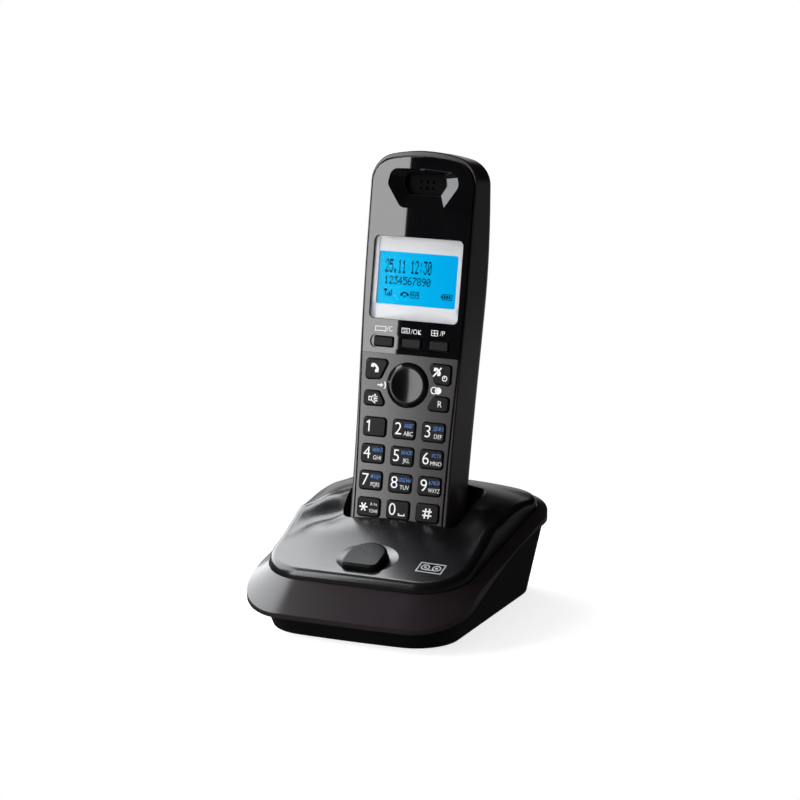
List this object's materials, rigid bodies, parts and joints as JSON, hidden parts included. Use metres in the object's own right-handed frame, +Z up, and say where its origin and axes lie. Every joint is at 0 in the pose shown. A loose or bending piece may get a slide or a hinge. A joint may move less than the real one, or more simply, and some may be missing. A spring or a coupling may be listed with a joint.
{
  "type": "cordless phone with base",
  "caption": "Cordless telephone handset with keypad and display, standing in a low charging base with a gloss top panel.",
  "frame": {"origin": "centre of the base's footprint on the surface that it stands on", "axes": "+Z up, front of the phone towards -Y, +X to the viewer's right"},
  "size_m": [0.093, 0.113, 0.1774],
  "materials": {
    "gloss_black": "high gloss moulded black",
    "satin_graphite": "satin dark graphite with a fine metallic fleck",
    "case_black": "fine moulded texture",
    "key_black": "semi-matte keycap",
    "silver_frame": "satin silver print",
    "display_blue": "lit blue display",
    "clear_lens": "clear polished",
    "rubber": "matte rubber",
    "board": "solder mask",
    "component": "moulded black",
    "steel": "plated",
    "cell": "sleeved cell"
  },
  "bodies": {
    "base": {"base_lower_case": "case_black", "base_rim": "satin_graphite", "base_top_panel": "gloss_black", "base_board": "board", "locator_switch": "component", "power_inlet": "component", "line_socket": "component", "base_feet": "rubber", "base_screws": "steel"},
    "handset": {"handset_rear_case": "satin_graphite", "handset_front_case": "satin_graphite", "handset_fascia": "gloss_black", "display_lens": "clear_lens", "display_frame": "silver_frame", "display_module": "display_blue", "earpiece_speaker": "component", "ringer_speaker": "component", "microphone": "component", "handset_board": "board", "keypad_mat": "rubber", "batteries": "cell", "battery_contacts": "steel", "charge_terminals": "steel", "handset_screws": "steel"},
    "locator_button": {"locator_button": "key_black"},
    "charge_contact_left": {"charge_contact_left": "steel"},
    "charge_contact_right": {"charge_contact_right": "steel"},
    "battery_door": {"battery_door": "satin_graphite"},
    "navigator_carrier": {"navigator_carrier": "component"},
    "navigator_disc": {"navigator_disc": "gloss_black"},
    "key_1": {"key_1": "key_black"},
    "key_2": {"key_2": "key_black"},
    "key_3": {"key_3": "key_black"},
    "key_4": {"key_4": "key_black"},
    "key_5": {"key_5": "key_black"},
    "key_6": {"key_6": "key_black"},
    "key_7": {"key_7": "key_black"},
    "key_8": {"key_8": "key_black"},
    "key_9": {"key_9": "key_black"},
    "key_star": {"key_star": "key_black"},
    "key_0": {"key_0": "key_black"},
    "key_hash": {"key_hash": "key_black"},
    "talk_key": {"talk_key": "key_black"},
    "off_key": {"off_key": "key_black"},
    "speaker_key": {"speaker_key": "key_black"},
    "recall_key": {"recall_key": "key_black"},
    "soft_key_left": {"soft_key_left": "key_black"},
    "soft_key_middle": {"soft_key_middle": "key_black"},
    "soft_key_right": {"soft_key_right": "key_black"}
  },
  "joints": [
    {"name": "handset_lift", "type": "slide", "parent": "base", "child": "handset", "axis": [0, 0.1874, 0.9823], "range_m": [0, 0.07]},
    {"name": "locator_press", "type": "slide", "parent": "base", "child": "locator_button", "axis": [0, 0.2924, -0.9563], "range_m": [0, 0.0008], "stiffness_N_per_m": 300},
    {"name": "charge_contact_left_flex", "type": "slide", "parent": "base", "child": "charge_contact_left", "axis": [0, -0.1874, -0.9823], "range_m": [0, 0.001], "stiffness_N_per_m": 300},
    {"name": "charge_contact_right_flex", "type": "slide", "parent": "base", "child": "charge_contact_right", "axis": [0, -0.1874, -0.9823], "range_m": [0, 0.001], "stiffness_N_per_m": 300},
    {"name": "battery_door_slide", "type": "slide", "parent": "handset", "child": "battery_door", "axis": [0, -0.1874, -0.9823], "range_m": [0, 0.009]},
    {"name": "navigator_up_down", "type": "hinge", "parent": "handset", "child": "navigator_carrier", "pos_m": [0, 0.01154, 0.08748], "axis": [1, 0, 0], "range_deg": [-4, 4], "stiffness_Nm_per_rad": 0.05},
    {"name": "navigator_left_right", "type": "hinge", "parent": "navigator_carrier", "child": "navigator_disc", "pos_m": [0, 0.01154, 0.08748], "axis": [0, 0.1874, 0.9823], "range_deg": [-4, 4], "stiffness_Nm_per_rad": 0.05},
    {"name": "key_1_press", "type": "slide", "parent": "handset", "child": "key_1", "axis": [0, 0.9823, -0.1874], "range_m": [0, 0.0008], "stiffness_N_per_m": 300},
    {"name": "key_2_press", "type": "slide", "parent": "handset", "child": "key_2", "axis": [0, 0.9823, -0.1874], "range_m": [0, 0.0008], "stiffness_N_per_m": 300},
    {"name": "key_3_press", "type": "slide", "parent": "handset", "child": "key_3", "axis": [0, 0.9823, -0.1874], "range_m": [0, 0.0008], "stiffness_N_per_m": 300},
    {"name": "key_4_press", "type": "slide", "parent": "handset", "child": "key_4", "axis": [0, 0.9823, -0.1874], "range_m": [0, 0.0008], "stiffness_N_per_m": 300},
    {"name": "key_5_press", "type": "slide", "parent": "handset", "child": "key_5", "axis": [0, 0.9823, -0.1874], "range_m": [0, 0.0008], "stiffness_N_per_m": 300},
    {"name": "key_6_press", "type": "slide", "parent": "handset", "child": "key_6", "axis": [0, 0.9823, -0.1874], "range_m": [0, 0.0008], "stiffness_N_per_m": 300},
    {"name": "key_7_press", "type": "slide", "parent": "handset", "child": "key_7", "axis": [0, 0.9823, -0.1874], "range_m": [0, 0.0008], "stiffness_N_per_m": 300},
    {"name": "key_8_press", "type": "slide", "parent": "handset", "child": "key_8", "axis": [0, 0.9823, -0.1874], "range_m": [0, 0.0008], "stiffness_N_per_m": 300},
    {"name": "key_9_press", "type": "slide", "parent": "handset", "child": "key_9", "axis": [0, 0.9823, -0.1874], "range_m": [0, 0.0008], "stiffness_N_per_m": 300},
    {"name": "key_star_press", "type": "slide", "parent": "handset", "child": "key_star", "axis": [0, 0.9823, -0.1874], "range_m": [0, 0.0008], "stiffness_N_per_m": 300},
    {"name": "key_0_press", "type": "slide", "parent": "handset", "child": "key_0", "axis": [0, 0.9823, -0.1874], "range_m": [0, 0.0008], "stiffness_N_per_m": 300},
    {"name": "key_hash_press", "type": "slide", "parent": "handset", "child": "key_hash", "axis": [0, 0.9823, -0.1874], "range_m": [0, 0.0008], "stiffness_N_per_m": 300},
    {"name": "talk_key_press", "type": "slide", "parent": "handset", "child": "talk_key", "axis": [0, 0.9823, -0.1874], "range_m": [0, 0.0008], "stiffness_N_per_m": 300},
    {"name": "off_key_press", "type": "slide", "parent": "handset", "child": "off_key", "axis": [0, 0.9823, -0.1874], "range_m": [0, 0.0008], "stiffness_N_per_m": 300},
    {"name": "speaker_key_press", "type": "slide", "parent": "handset", "child": "speaker_key", "axis": [0, 0.9823, -0.1874], "range_m": [0, 0.0008], "stiffness_N_per_m": 300},
    {"name": "recall_key_press", "type": "slide", "parent": "handset", "child": "recall_key", "axis": [0, 0.9823, -0.1874], "range_m": [0, 0.0008], "stiffness_N_per_m": 300},
    {"name": "soft_key_left_press", "type": "slide", "parent": "handset", "child": "soft_key_left", "axis": [0, 0.9823, -0.1874], "range_m": [0, 0.0008], "stiffness_N_per_m": 300},
    {"name": "soft_key_middle_press", "type": "slide", "parent": "handset", "child": "soft_key_middle", "axis": [0, 0.9823, -0.1874], "range_m": [0, 0.0008], "stiffness_N_per_m": 300},
    {"name": "soft_key_right_press", "type": "slide", "parent": "handset", "child": "soft_key_right", "axis": [0, 0.9823, -0.1874], "range_m": [0, 0.0008], "stiffness_N_per_m": 300}
  ]
}
